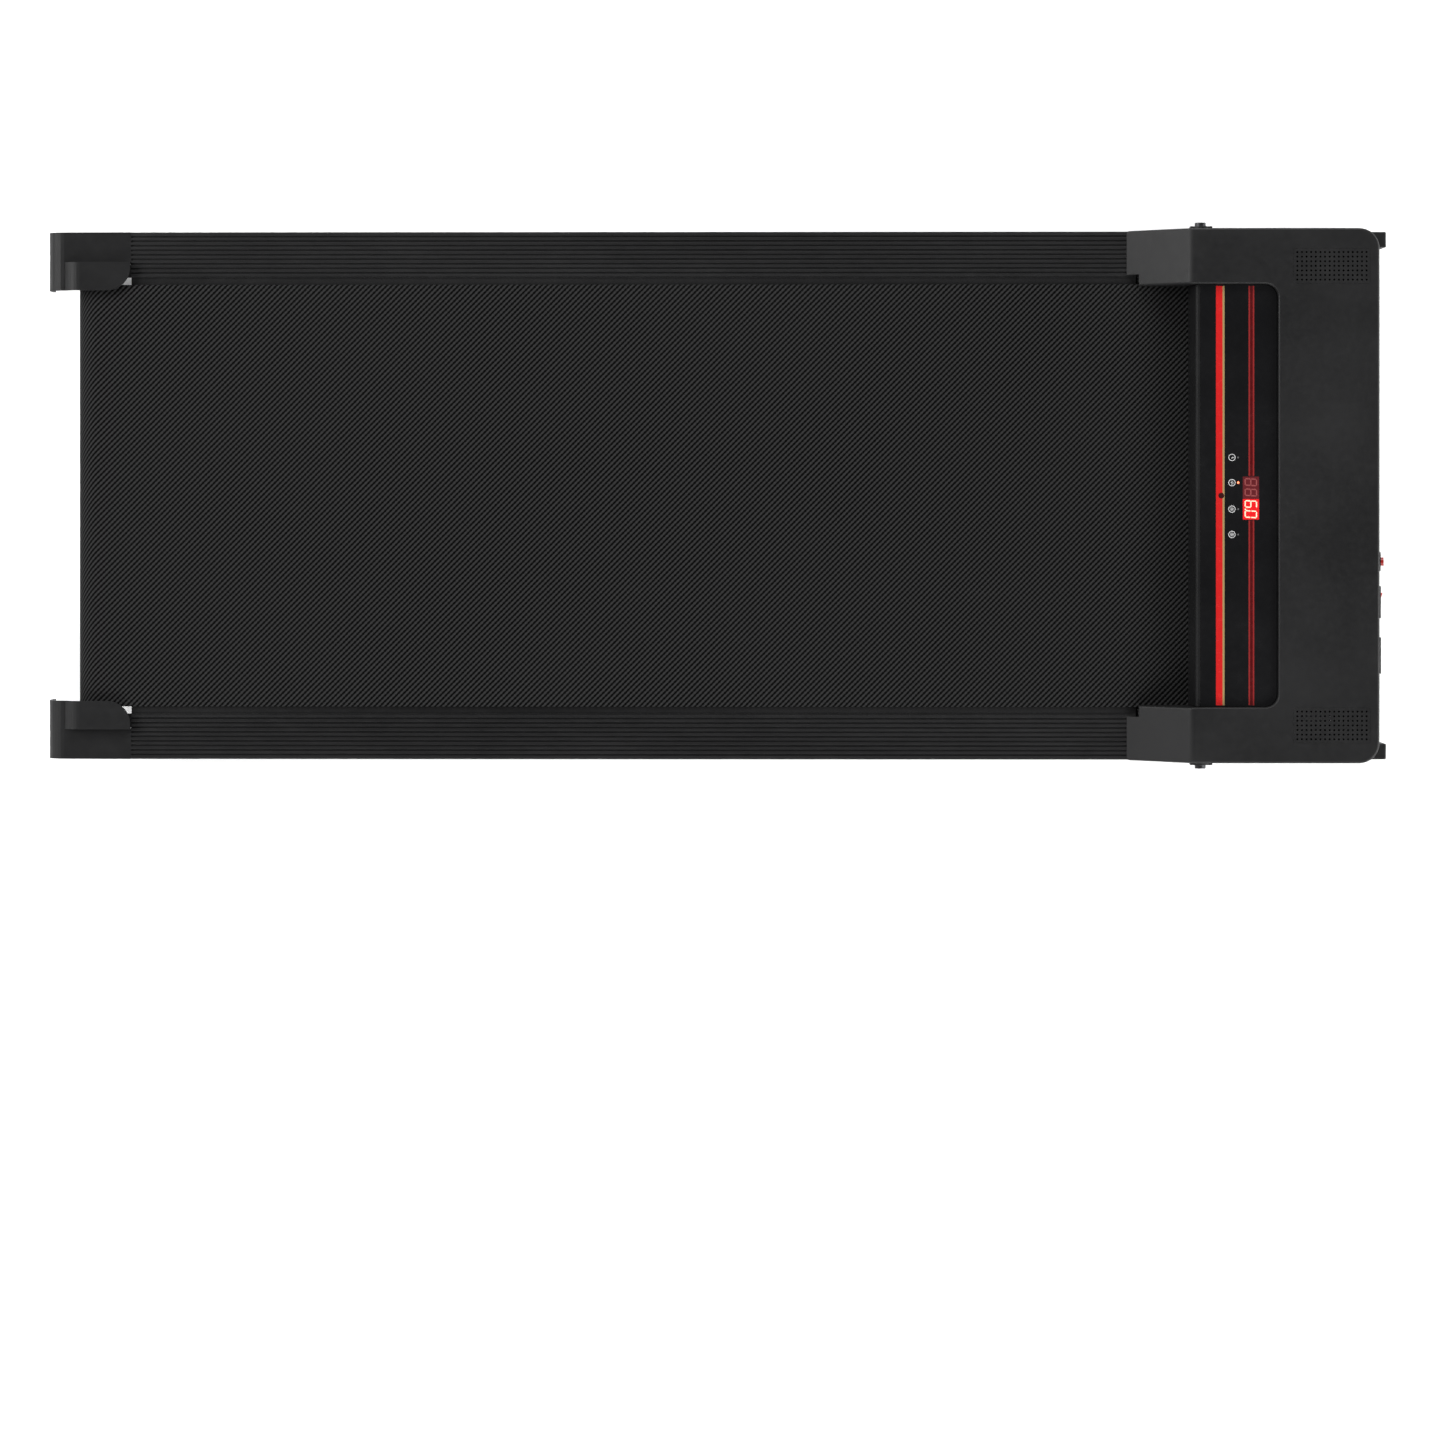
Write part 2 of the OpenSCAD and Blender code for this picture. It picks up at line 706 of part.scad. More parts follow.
// XZ outline of the pan, taken in by t and open above when t is over 0
module pan_outline(t) {
    r = 12 - t;
    slope = atan2(pan_depth, pan_rear_low - pan_rear);
    lift = t > 0 ? 5 : 0;
    polygon(concat(
        [[pan_rear + t / sin(slope) - lift / tan(slope), lift]],
        arc(pan_rear_low + 5.5, r - pan_depth + t, r, 270 - slope, 270, 6),
        [[pan_front_low - t / 2, t - pan_depth], [pan_front - t, -12 + t / 2], [pan_front - t, lift]]));
}

module wheel_well(t) {
    block([wheel_x, well_in - t, -pan_depth - 1], [pan_front + 9, side_y, 6]);
    y_rod(wheel_x, wheel_drop, well_r + t, well_in - t, side_y);
}

// The pan's body, taken in by t
module pan_solid(t) {
    difference() {
        slab(t - pan_y, pan_y - t) pan_outline(t);
        for (side = [1, -1]) on_side(side) wheel_well(t);
        block([pan_rear - 9, -rail_in - t, -pan_depth - 1], [pan_notch + t, rail_in + t, 6]);
        if (t > 0) for (side = [1, -1]) on_side(side) {
            block([528, pan_y - 8, -pan_depth], [548, pan_y, 9]);
            block([560, pan_y - 8, -pan_depth], [577, pan_y, 9]);
            block([382, pan_y - 8, -pan_depth], [398, pan_y, 9]);
        }
    }
}

module belly_pan() {
    color([0.13, 0.13, 0.13]) on_deck() {
        difference() {
            pan_solid(0);
            pan_solid(cover_t);
            block([pan_notch - 9, -rail_in - 9, -2.5], [pan_notch + 70, rail_in - 4, 6]);
            for (side = [1, -1]) on_side(side) {
                block([531, pan_y - 3.5, -pan_depth - 1], [545, pan_y + 1, -2]);
                block([385, pan_y - 3.5, -pan_depth - 1], [395, pan_y + 1, -2]);
                block([563, pan_y - 1.5, -pan_depth - 1], [574, pan_y + 1, -10]);
                block([563, pan_y - 5, -10.01], [574, pan_y + 1, -1.5]);
            }
        }
        // roof over each wheel, stopping at the wheel's bracket
        for (side = [1, -1]) on_side(side) {
            block([wheel_x - well_r - 1, well_in - cover_t, -bracket_t],
                  [wheel_x - bracket_r - 0.1, pan_y, 0]);
            block([wheel_x - bracket_r - 0.11, well_in - cover_t, -bracket_t],
                  [pan_front, wheel_y - wheel_w / 2 - wheel_side - bracket_t - 0.1, 0]);
        }
        intersection() {
            slab(-pan_y, pan_y) pan_outline(0);
            for (side = [1, -1], x = [390, 538]) on_side(side)
                translate([x, pan_y - 3.6, -pan_depth]) cylinder(h = pan_depth - 1.9, r = 3.4);
        }
    }
}

module pan_screws() {
    color([0.5, 0.5, 0.52]) on_deck() {
        for (x = [440, 580], y = [-150, 0, 150]) translate([x, y, -pan_depth - 1.2]) difference() {
            cylinder(h = 1.2, r = 4);
            for (a = [0, 90]) rotate([0, 0, a]) cube([4.5, 1, 1.4], center = true);
        }
        for (side = [1, -1]) on_side(side) y_rod(568.5, -5.7, 3, pan_y - 5, pan_y - 3.4);
    }
}

// ---- Switchgear ----

// The fittings share the front wall's slope

module on_front_wall(y) {
    translate([hood_front - (gear_z - hood_seat) * tan(wall_lean), y, gear_z])
        rotate([0, -wall_lean, 0]) children();
}

module power_inlet() {
    color([0.05, 0.05, 0.05]) on_deck() on_front_wall(inlet_y) difference() {
        union() {
            block([0.1, -17, -12.5], [2, 17, 12.5]);
            block([-20, -13.5, -9.5], [0.1, 13.5, 9.5]);
        }
        block([-16, -11.5, -7.5], [3, 11.5, 7.5]);
    }
}

module inlet_pins() {
    color([0.8, 0.78, 0.7]) on_deck() on_front_wall(inlet_y)
        for (p = [[-7, -1], [0, 2.5], [7, -1]])
            block([-16, p[0] - 1, p[1] - 2], [-6, p[0] + 1, p[1] + 2]);
}

module switch_frame() {
    color([0.06, 0.06, 0.06]) on_deck() on_front_wall(switch_y) difference() {
        union() {
            block([0.1, -15, -11], [2, 15, 11]);
            block([-16, -12.5, -8.5], [0.1, 12.5, 8.5]);
        }
        block([-13, -10.6, -6.4], [3, 10.6, 6.4]);
    }
    // pin the rocker turns on
    color([0.06, 0.06, 0.06]) on_deck() on_front_wall(switch_y)
        translate([rocker_x, 0, -6.6]) cylinder(h = 13.2, r = 1.5);
}

module switch_rocker() {
    color([0.6, 0.05, 0.05]) on_deck() on_front_wall(switch_y)
        translate([rocker_x, 0, 0]) rotate([0, 0, -switch_tilt]) difference() {
            linear_extrude(12, center = true) polygon([
                [-1, -9], [5.6, -9.4], [3.8, 0], [5.6, 9.4], [-1, 9], [-5, 3], [-5, -3]]);
            cylinder(h = 20, r = 1.5 + run_gap, center = true);
        }
}

module breaker_body() {
    color([0.06, 0.06, 0.06]) on_deck() on_front_wall(breaker_y) difference() {
        union() {
            translate([0.1, 0, 0]) rotate([0, 90, 0]) cylinder(h = 2, r = 9);
            translate([-16, 0, 0]) rotate([0, 90, 0]) cylinder(h = 16.1, r = 6.7);
        }
        translate([-10, 0, 0]) rotate([0, 90, 0]) cylinder(h = 15, r = 4.3);
    }
}

module breaker_button() {
    color([0.75, 0.1, 0.08]) on_deck() on_front_wall(breaker_y)
        translate([-5, 0, 0]) rotate([0, 90, 0]) cylinder(h = 10, r = 4);
}

// ---- Drive ----

module motor_case() {
    end = motor_y0 + motor_len;
    color([0.2, 0.2, 0.22]) on_deck() difference() {
        union() {
            y_rod(motor_x, motor_z, motor_r, motor_y0 + 8, end - 8);
            y_rod(motor_x, motor_z, motor_r - 2, motor_y0, end);
        }
        y_rod(motor_x, motor_z, motor_r - 4, motor_y0 + 4, end - 4);
        y_rod(motor_x, motor_z, 5 + run_gap, motor_y0 - 1, end + 1);
    }
}

module motor_rotor() {
    end = motor_y0 + motor_len;
    color([0.6, 0.35, 0.2]) on_deck() {
        y_rod(motor_x, motor_z, 5, pulley_y - pulley_w / 2 - 2, end + 6);
        for (y = [motor_y0 + 12]) difference() {
            y_rod(motor_x, motor_z, motor_r - 7, y, end - 12);
            y_rod(motor_x, motor_z, 4.99, y - 1, end);
        }
    }
}

module motor_pulley() {
    color([0.5, 0.5, 0.52]) on_deck() difference() {
        union() {
            y_rod(motor_x, motor_z, motor_pulley_r, pulley_y - pulley_w / 2, pulley_y + pulley_w / 2);
            for (y = [pulley_y - pulley_w / 2, pulley_y + pulley_w / 2 - 1])
                y_rod(motor_x, motor_z, motor_pulley_r + 2.5, y, y + 1);
            y_rod(motor_x, motor_z, 26, pulley_y + pulley_w / 2, pulley_y + pulley_w / 2 + 8);
        }
        y_rod(motor_x, motor_z, 5, pulley_y - pulley_w, pulley_y + pulley_w + 8);
    }
}

module motor_cradle() {
    color([0.3, 0.3, 0.32]) on_deck() difference() {
        for (y = [motor_y0 + 16, motor_y0 + motor_len - 22])
            block([motor_x - 23, y, -pan_depth + cover_t + 0.2], [motor_x + 23, y + 6, motor_z]);
        y_rod(motor_x, motor_z, motor_r + 0.02, motor_y0, motor_y0 + motor_len);
    }
}

module drive_belt() {
    ra = roller_pulley_r + gap;
    rb = motor_pulley_r + gap;
    half = pulley_w / 2 - 1.5;
    color([0.08, 0.08, 0.08]) on_deck() slab(pulley_y - half, pulley_y + half) difference() {
        belt_outline(front_roller_x, roller_z, ra + drive_belt_t, motor_x, motor_z, rb + drive_belt_t);
        belt_outline(front_roller_x, roller_z, ra, motor_x, motor_z, rb);
    }
}

module controller_board() {
    floor_z = -pan_depth + cover_t;
    color([0.1, 0.3, 0.15]) on_deck() {
        block([500, 20, floor_z + 6], [584, 160, floor_z + 7.6]);
        for (x = [504, 580], y = [24, 156]) translate([x, y, floor_z + 0.1]) cylinder(h = 5.9, r = 3);
        for (i = [0:6]) block([507, 30 + i * 6, floor_z + 7.6], [535, 33 + i * 6, floor_z + 30]);
        for (x = [548, 571], y = [45, 75]) translate([x, y, floor_z + 7.6]) cylinder(h = 26, r = 9);
        block([542, 100, floor_z + 7.6], [578, 140, floor_z + 28]);
    }
}

side_tube(1);  // left_side_tube
side_tube(-1);  // right_side_tube
front_cross_tube();
deck_crossbars();
tube_plugs();
deck_board();
deck_cushions();
running_belt();
foot_rail(1);  // left_foot_rail
foot_rail(-1);  // right_foot_rail
end_cap(1);  // left_end_cap
end_cap(-1);  // right_end_cap
rear_axle_brackets();
rear_axle();
front_axle();
front_axle_blocks();
rear_foot_bar();
rear_foot(1);  // left_rear_foot
rear_foot(-1);  // right_rear_foot
middle_foot(1);  // left_middle_foot
middle_foot(-1);  // right_middle_foot
wheel_bracket(1);  // left_wheel_bracket
wheel_bracket(-1);  // right_wheel_bracket
wheel_bolt(1);  // left_wheel_bolt
wheel_bolt(-1);  // right_wheel_bolt
wheel(1);  // left_wheel
wheel(-1);  // right_wheel
motor_hood();
vent_grille(1);  // left_vent_grille
vent_grille(-1);  // right_vent_grille
control_tray();
panel_lens();
light_bar();
light_lines();
speed_display();
display_board();
remote_receiver();
hood_clips();
hood_bolts();
belly_pan();
pan_screws();
power_inlet();
inlet_pins();
switch_frame();
switch_rocker();
breaker_body();
breaker_button();
motor_case();
motor_cradle();
motor_rotor();
motor_pulley();
drive_belt();
roller_tube(front_roller_x);  // front_roller
front_roller_pulley();
roller_bearings(front_roller_x);  // front_roller_bearings
roller_tube(rear_roller_x);  // rear_roller
roller_bearings(rear_roller_x);  // rear_roller_bearings
controller_board();
adjuster_bolt(1);  // left_adjuster_bolt
adjuster_bolt(-1);  // right_adjuster_bolt
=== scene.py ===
import bpy, bmesh, json, math
from mathutils import Vector, Matrix


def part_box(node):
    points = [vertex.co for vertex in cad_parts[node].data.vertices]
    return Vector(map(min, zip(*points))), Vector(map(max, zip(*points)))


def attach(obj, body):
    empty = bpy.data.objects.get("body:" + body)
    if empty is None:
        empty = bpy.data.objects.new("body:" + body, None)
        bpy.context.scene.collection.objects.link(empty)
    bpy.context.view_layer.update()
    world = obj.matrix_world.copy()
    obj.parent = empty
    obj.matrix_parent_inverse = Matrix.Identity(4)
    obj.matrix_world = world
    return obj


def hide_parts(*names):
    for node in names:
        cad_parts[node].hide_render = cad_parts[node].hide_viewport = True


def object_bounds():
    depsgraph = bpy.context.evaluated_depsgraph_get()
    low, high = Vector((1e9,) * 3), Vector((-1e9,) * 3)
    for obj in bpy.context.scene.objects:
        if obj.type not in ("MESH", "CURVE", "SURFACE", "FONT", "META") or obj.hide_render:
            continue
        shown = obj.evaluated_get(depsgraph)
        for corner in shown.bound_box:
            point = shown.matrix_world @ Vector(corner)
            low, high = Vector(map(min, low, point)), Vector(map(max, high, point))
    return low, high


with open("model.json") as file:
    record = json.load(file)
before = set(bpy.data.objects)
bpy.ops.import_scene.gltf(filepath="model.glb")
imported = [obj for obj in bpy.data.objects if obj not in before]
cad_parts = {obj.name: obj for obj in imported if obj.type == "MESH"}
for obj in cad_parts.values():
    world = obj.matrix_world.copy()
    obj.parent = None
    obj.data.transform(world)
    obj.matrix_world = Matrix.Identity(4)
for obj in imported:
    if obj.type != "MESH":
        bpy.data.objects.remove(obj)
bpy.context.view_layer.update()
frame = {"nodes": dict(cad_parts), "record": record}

nodes = frame["nodes"]
scene = bpy.context.scene

# The deck is drawn square in its own axes, then tilted up towards the hood.
TILT = math.radians(0.68)
DECK = Matrix.Translation((0.000118, 0, 0.037)) @ Matrix.Rotation(-TILT, 4, "Y")

# Vertices closer than this, in metres, are one.
WELD_GAP = 0.00001


# ---------------------------------------------------------------- materials
class Shader:
    """A node material built from a few procedural layers over object coordinates."""

    def __init__(self, name):
        self.mat = bpy.data.materials.new(name)
        self.mat.use_nodes = True
        self.tree = self.mat.node_tree
        self.bsdf = next(n for n in self.tree.nodes if n.type == "BSDF_PRINCIPLED")
        self.coord = self.new("ShaderNodeTexCoord").outputs["Object"]

    def new(self, kind, **values):
        node = self.tree.nodes.new(kind)
        for key, value in values.items():
            setattr(node, key, value)
        return node

    def link(self, source, target):
        self.tree.links.new(source, target)

    def noise(self, scale, detail=4.0, rough=0.55, stretch=(1, 1, 1)):
        mapping = self.new("ShaderNodeMapping")
        mapping.inputs["Scale"].default_value = stretch
        self.link(self.coord, mapping.inputs["Vector"])
        tex = self.new("ShaderNodeTexNoise")
        tex.inputs["Scale"].default_value = scale
        tex.inputs["Detail"].default_value = detail
        tex.inputs["Roughness"].default_value = rough
        self.link(mapping.outputs["Vector"], tex.inputs["Vector"])
        return tex.outputs["Fac"]

    def remap(self, source, low, high, from_low=0.3, from_high=0.7):
        node = self.new("ShaderNodeMapRange")
        node.inputs["From Min"].default_value = from_low
        node.inputs["From Max"].default_value = from_high
        node.inputs["To Min"].default_value = low
        node.inputs["To Max"].default_value = high
        self.link(source, node.inputs["Value"])
        return node.outputs["Result"]

    def math(self, op, a, b=None):
        node = self.new("ShaderNodeMath", operation=op)
        for i, value in enumerate((a, b)):
            if value is None:
                continue
            if isinstance(value, (int, float)):
                node.inputs[i].default_value = value
            else:
                self.link(value, node.inputs[i])
        return node.outputs[0]

    def mix(self, factor, a, b):
        node = self.new("ShaderNodeMix", data_type="RGBA")
        if isinstance(factor, (int, float)):
            node.inputs[0].default_value = factor
        else:
            self.link(factor, node.inputs[0])
        for i, value in ((6, a), (7, b)):
            if isinstance(value, tuple):
                node.inputs[i].default_value = (*value, 1)
            else:
                self.link(value, node.inputs[i])
        return node.outputs[2]

    def bump(self, height, distance, strength=1.0):
        node = self.new("ShaderNodeBump")
        node.inputs["Strength"].default_value = strength
        node.inputs["Distance"].default_value = distance
        self.link(height, node.inputs["Height"])
        previous = self.bsdf.inputs["Normal"]
        if previous.is_linked:
            self.link(previous.links[0].from_socket, node.inputs["Normal"])
        self.link(node.outputs["Normal"], previous)

    def painted_crevice_shade(self, distance):
        """Mask for painted shade: 0 in narrow grooves and seams, 1 in the open."""
        node = self.new("ShaderNodeAmbientOcclusion", samples=3)
        node.inputs["Distance"].default_value = distance
        return self.remap(node.outputs["AO"], 0.0, 1.0, 0.25, 0.9)

    def edges(self, radius=0.0012):
        """How worn a spot is: high along convex edges."""
        bevel = self.new("ShaderNodeBevel", samples=3)
        bevel.inputs["Radius"].default_value = radius
        geo = self.new("ShaderNodeNewGeometry")
        dot = self.new("ShaderNodeVectorMath", operation="DOT_PRODUCT")
        self.link(bevel.outputs["Normal"], dot.inputs[0])
        self.link(geo.outputs["Normal"], dot.inputs[1])
        return self.remap(dot.outputs["Value"], 1.0, 0.0, 0.82, 0.995)


def surface(name, color, rough, grain=0.0, grain_scale=2500, vary=0.18, metallic=0.0,
            spec=0.5, wear=0.25, wear_color=None, stretch=(1, 1, 1), dust=0.06,
            groove_shade=0.0):
    """Paint, metal or plastic: a cloudy tone, specks, worn edges, a fine grain and, if asked, painted
    shade in grooves and seams.
    """
    s = Shader(name)
    b = s.bsdf
    b.inputs["Metallic"].default_value = metallic
    b.inputs["Specular IOR Level"].default_value = spec
    cloud = s.noise(9, 5, 0.6, stretch)
    fine = s.noise(160, 6, 0.7, stretch)
    dark = tuple(c * (1 - vary) for c in color)
    light = tuple(c * (1 + vary) + 0.001 for c in color)
    base = s.mix(s.remap(cloud, 0, 1), dark, light)
    speck = s.remap(fine, 0, dust, 0.52, 0.78)
    base = s.mix(speck, base, tuple(min(1, c * 2.0 + 0.012) for c in color))
    if wear > 0:
        worn = s.math("MULTIPLY", s.edges(), s.remap(s.noise(75, 5), 0.15, wear, 0.42, 0.72))
        base = s.mix(worn, base, wear_color or tuple(min(1, c * 2.4 + 0.012) for c in color))
    # Painted shade: in grooves and seams the colour falls to 0.3 of itself, found by ambient
    # occlusion.
    if groove_shade:
        base = s.mix(s.painted_crevice_shade(groove_shade), tuple(c * 0.3 for c in color), base)
    s.link(base, b.inputs["Base Color"])
    smear = s.math("ADD", s.remap(cloud, -0.05, 0.05), s.remap(fine, -0.04, 0.06))
    s.link(s.math("ADD", smear, rough), b.inputs["Roughness"])
    if grain > 0:
        s.bump(s.noise(grain_scale, 3, 0.6, stretch), grain)
    s.bump(s.noise(35, 3, 0.5), 0.00012, 0.35)
    return s.mat


def woven_belt(name, pitch=0.00375):
    """Rubber with ribs at 45 degrees and a weaker weave that crosses them."""
    s = Shader(name)
    b = s.bsdf
    b.inputs["Specular IOR Level"].default_value = 0.03
    split = s.new("ShaderNodeSeparateXYZ")
    wobble = s.noise(60, 3, 0.5)
    s.link(s.coord, split.inputs["Vector"])
    # x + z carries the weave on round the rear roller
    x, y = s.math("ADD", split.outputs["X"], split.outputs["Z"]), split.outputs["Y"]

    def rib(angle):
        """Parallel ribs from 0 to 1, a little uneven."""
        a = math.radians(angle)
        across = s.math("SUBTRACT", s.math("MULTIPLY", x, math.sin(a)),
                        s.math("MULTIPLY", y, math.cos(a)))
        phase = s.math("MULTIPLY", across, 2 * math.pi / pitch)
        phase = s.math("ADD", phase, s.math("MULTIPLY", wobble, 0.3))
        return s.math("ADD", s.math("MULTIPLY", s.math("SINE", phase), 0.5), 0.5)

    ribs = s.math("MULTIPLY", rib(45), 1.3)
    cross = s.math("MULTIPLY", rib(-45), 0.32)
    knots = s.remap(s.math("ADD", ribs, cross), 0, 1, 0.38, 1.36)
    grit = s.noise(900, 4, 0.7)
    height = s.math("ADD", knots, s.math("MULTIPLY", grit, 0.3))
    cloud = s.noise(5, 5, 0.6)
    base = s.mix(knots, (0.0001, 0.0001, 0.0001), (0.0185, 0.0185, 0.0188))
    base = s.mix(s.remap(cloud, 0, 0.06, 0.4, 0.75), base, (0.014, 0.014, 0.014))
    scuffs = s.remap(s.noise(45, 6, 0.75, (0.25, 1.6, 1)), 0, 0.10, 0.6, 0.8)
    base = s.mix(scuffs, base, (0.02, 0.02, 0.0197))
    s.link(base, b.inputs["Base Color"])
    s.link(s.math("ADD", s.remap(cloud, -0.04, 0.05), 0.66), b.inputs["Roughness"])
    s.bump(height, 0.0004, 0.8)
    return s.mat


def lit(name, color, strength, dark):
    """A faintly glowing print or lens."""
    s = Shader(name)
    b = s.bsdf
    fine = s.noise(220, 4)
    s.link(s.mix(s.remap(fine, 0.75, 1), dark, color), b.inputs["Base Color"])
    glow = s.mix(s.remap(fine, 0.85, 1), tuple(c * 0.8 for c in color), color)
    s.link(glow, b.inputs["Emission Color"])
    b.inputs["Emission Strength"].default_value = strength
    s.link(s.remap(fine, 0.16, 0.3), b.inputs["Roughness"])
    s.bump(fine, 0.00002, 0.3)
    return s.mat


MATS = {
    "black_steel": surface("black_steel", (0.0045, 0.0045, 0.0047), 0.46, 0.00006, 1400, spec=0.2,
                           wear=0.3, wear_color=(0.11, 0.11, 0.115)),
    "dark_steel": surface("dark_steel", (0.03, 0.03, 0.032), 0.5, 0.00005, 1200),
    "grey_steel": surface("grey_steel", (0.36, 0.36, 0.37), 0.36, 0.00002, 900, metallic=1.0,
                          stretch=(1, 6, 1), wear=0.3),
    "hood_plastic": surface("hood_plastic", (0.0044, 0.0044, 0.0046), 0.48, 0.00005, 1900, spec=0.19,
                            vary=0.1, wear=0.2, groove_shade=0.003),
    "cap_plastic": surface("cap_plastic", (0.0034, 0.0034, 0.0036), 0.5, 0.00005, 1800, spec=0.17,
                           wear=0.22, groove_shade=0.003),
    "rail_plastic": surface("rail_plastic", (0.0052, 0.0052, 0.0054), 0.44, 0.00003, 1500, spec=0.18,
                            wear=0.3, stretch=(0.3, 1, 1), groove_shade=0.0022),
    "pan_plastic": surface("pan_plastic", (0.006, 0.006, 0.0062), 0.52, 0.00007, 1300, spec=0.22),
    "tray_gloss": surface("tray_gloss", (0.0042, 0.0042, 0.0044), 0.5, 0.00001, 600, spec=0.1,
                          wear=0.08),
    "panel_gloss": surface("panel_gloss", (0.0027, 0.0027, 0.003), 0.2, 0.0, 600, spec=0.3,
                           wear=0.06, dust=0.02),
    "foot_rubber": surface("foot_rubber", (0.008, 0.008, 0.008), 0.7, 0.0001, 900, spec=0.3),
    "wheel_tread": surface("wheel_tread", (0.009, 0.009, 0.0093), 0.5, 0.00005, 1000, spec=0.35),
    "board_wood": surface("board_wood", (0.010, 0.009, 0.0082), 0.6, 0.0001, 250,
                          stretch=(0.15, 3, 3), vary=0.3),
    "circuit": surface("circuit", (0.02, 0.12, 0.055), 0.4, 0.00003, 500),
    "socket_plastic": surface("socket_plastic", (0.007, 0.007, 0.007), 0.42, 0.00005, 1200, spec=0.4),
    "rocker_red": surface("rocker_red", (0.36, 0.014, 0.01), 0.34, 0.00003, 900),
    "dark_bolt": surface("dark_bolt", (0.03, 0.03, 0.032), 0.38, 0.00003, 900, metallic=0.7, wear=0.35,
                         wear_color=(0.25, 0.25, 0.26)),
    "pin_brass": surface("pin_brass", (0.7, 0.53, 0.28), 0.3, 0.0, 600, metallic=1.0),
    "case_steel": surface("case_steel", (0.03, 0.03, 0.033), 0.42, 0.00005, 900),
    "rotor_iron": surface("rotor_iron", (0.2, 0.15, 0.12), 0.5, 0.0001, 500, metallic=0.6),
    "pulley_alloy": surface("pulley_alloy", (0.5, 0.5, 0.52), 0.35, 0.00003, 700, metallic=1.0),
    "drive_rubber": surface("drive_rubber", (0.01, 0.01, 0.01), 0.6, 0.00008, 900),
    "receiver_red": surface("receiver_red", (0.02, 0.002, 0.002), 0.12, 0.0, 600, wear=0.0, dust=0.02),
    "belt_rubber": woven_belt("belt_rubber"),
    "red_light": lit("red_light", (0.29, 0.0058, 0.0056), 0.32, (0.24, 0.006, 0.006)),
    "orange_light": lit("orange_light", (0.17, 0.12, 0.05), 0.3, (0.17, 0.12, 0.055)),
    "thin_light": lit("thin_light", (0.13, 0.009, 0.009), 0.3, (0.12, 0.009, 0.009)),
    "deep_red": lit("deep_red", (0.04, 0.0006, 0.001), 0.25, (0.03, 0.0004, 0.0008)),
    "window_lit": lit("window_lit", (0.42, 0.006, 0.008), 0.3, (0.3, 0.005, 0.005)),
    "window_dark": lit("window_dark", (0.06, 0.006, 0.008), 0.25, (0.045, 0.004, 0.005)),
    "digit_lit": lit("digit_lit", (0.8, 0.45, 0.33), 0.4, (0.7, 0.4, 0.3)),
    "digit_dim": lit("digit_dim", (0.15, 0.035, 0.035), 0.3, (0.12, 0.03, 0.03)),
    "icon_white": lit("icon_white", (0.35, 0.35, 0.35), 0.3, (0.3, 0.3, 0.3)),
    "icon_grey": lit("icon_grey", (0.07, 0.07, 0.07), 0.2, (0.05, 0.05, 0.05)),
    "spot_lit": lit("spot_lit", (1.0, 0.22, 0.1), 1.3, (0.8, 0.1, 0.05)),
}


# ---------------------------------------------------------------- carried CAD nodes
record = frame["record"]
slot_of = {p["node"]: p["material_slot"] for p in record["subparts"]}

BEVELS = {
    "left_side_tube": 0.0012, "right_side_tube": 0.0012, "front_cross_tube": 0.0012,
    "left_foot_rail": 0.00022, "right_foot_rail": 0.00022,
    "left_end_cap": 0.0009, "right_end_cap": 0.0009, "belly_pan": 0.0008,
    "left_wheel": 0.0014, "right_wheel": 0.0014, "control_tray": 0.0006,
    "left_rear_foot": 0.0006, "right_rear_foot": 0.0006,
    "left_middle_foot": 0.0005, "right_middle_foot": 0.0005,
    "rear_foot_bar": 0.0008, "left_wheel_bracket": 0.0004, "right_wheel_bracket": 0.0004,
    "left_wheel_bolt": 0.0004, "right_wheel_bolt": 0.0004, "hood_clips": 0.0006,
    "hood_bolts": 0.0004, "power_inlet": 0.0004, "switch_frame": 0.0004,
    "switch_rocker": 0.0004, "breaker_body": 0.0004, "breaker_button": 0.0004,
    "panel_lens": 0.0002, "pan_screws": 0.0002, "motor_case": 0.001,
}


def finish_edges(obj, width):
    weld = obj.modifiers.new("weld", "WELD")
    weld.merge_threshold = WELD_GAP
    if width:
        bevel = obj.modifiers.new("bevel", "BEVEL")
        bevel.width = width
        bevel.segments = 3
        bevel.limit_method = "ANGLE"
        bevel.angle_limit = math.radians(34)
        bevel.use_clamp_overlap = True
        bevel.harden_normals = False
    normal = obj.modifiers.new("normal", "WEIGHTED_NORMAL")
    normal.keep_sharp = True


for name, obj in nodes.items():
    obj.data.materials.clear()
    obj.data.materials.append(MATS[slot_of[name]])
    finish_edges(obj, BEVELS.get(name, 0.0))


# ---------------------------------------------------------------- pieces made here
def mm(x, y, h):
    """A point of the deck's own axes, in millimetres, as a point of the row frame."""
    return DECK @ Vector((x / 1000, y / 1000, h / 1000))


def place(name, bm, material):
    """A mesh drawn in deck millimetres becomes a piece of the frame body."""
    bm.transform(DECK @ Matrix.Diagonal((0.001, 0.001, 0.001, 1)))
    bmesh.ops.recalc_face_normals(bm, faces=bm.faces)
    mesh = bpy.data.meshes.new(name)
    bm.to_mesh(mesh)
    bm.free()
    mesh.materials.append(MATS[material])
    obj = bpy.data.objects.new(name, mesh)
    scene.collection.objects.link(obj)
    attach(obj, "frame")
    return obj


def add_box(bm, low, high):
    size = [b - a for a, b in zip(low, high)]
    centre = [(a + b) / 2 for a, b in zip(low, high)]
    matrix = Matrix.Translation(centre) @ Matrix.Diagonal((*size, 1))
    bmesh.ops.create_cube(bm, size=1, matrix=matrix)


def boxes(*pairs):
    bm = bmesh.new()
    for low, high in pairs:
        add_box(bm, low, high)
    return bm


